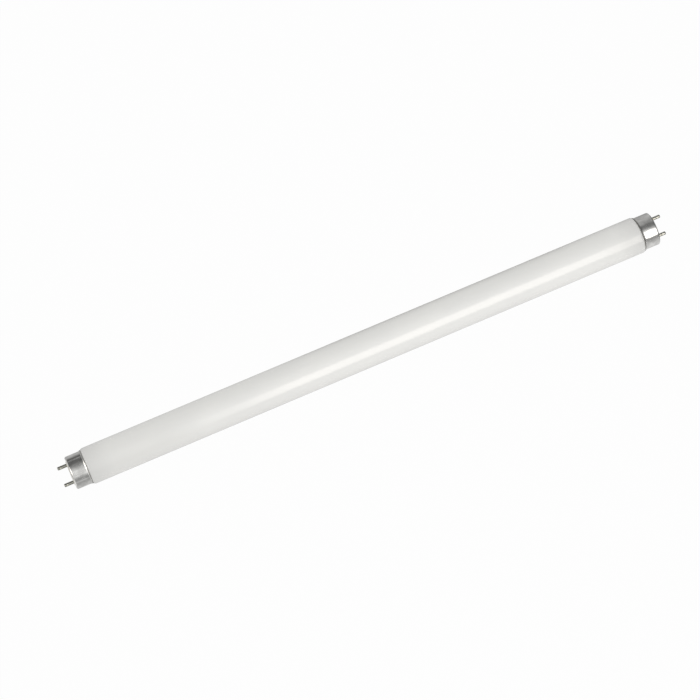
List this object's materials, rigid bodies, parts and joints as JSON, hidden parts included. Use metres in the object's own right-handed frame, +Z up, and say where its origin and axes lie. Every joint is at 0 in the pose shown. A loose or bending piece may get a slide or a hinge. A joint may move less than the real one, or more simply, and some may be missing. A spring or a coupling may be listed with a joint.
{
  "type": "fluorescent tube",
  "caption": "Straight white-coated glass discharge lamp with a bi-pin aluminium cap on each end, for a ceiling or cabinet light fitting.",
  "frame": {"origin": "middle of the tube, on its axis", "axes": "+X along the tube to its right end, +Y across it from the front pins to the back pins, +Z up"},
  "size_m": [0.4516, 0.026, 0.026],
  "materials": {
    "coated_glass": "clear gloss over an opaque white coating on the inside",
    "cap_metal": "bright drawn sheet",
    "insulator": "moulded, pale",
    "cement": "baked resin cement",
    "pin_metal": "bright, slightly tarnished",
    "lead_metal": "drawn wire"
  },
  "bodies": {
    "root": {"glass_tube": "coated_glass", "left_end_cap": "cap_metal", "right_end_cap": "cap_metal", "left_insulator": "insulator", "right_insulator": "insulator", "left_cement_ring": "cement", "right_cement_ring": "cement", "left_front_pin": "pin_metal", "left_back_pin": "pin_metal", "right_front_pin": "pin_metal", "right_back_pin": "pin_metal", "left_front_lead": "lead_metal", "left_back_lead": "lead_metal", "right_front_lead": "lead_metal", "right_back_lead": "lead_metal"}
  },
  "joints": []
}
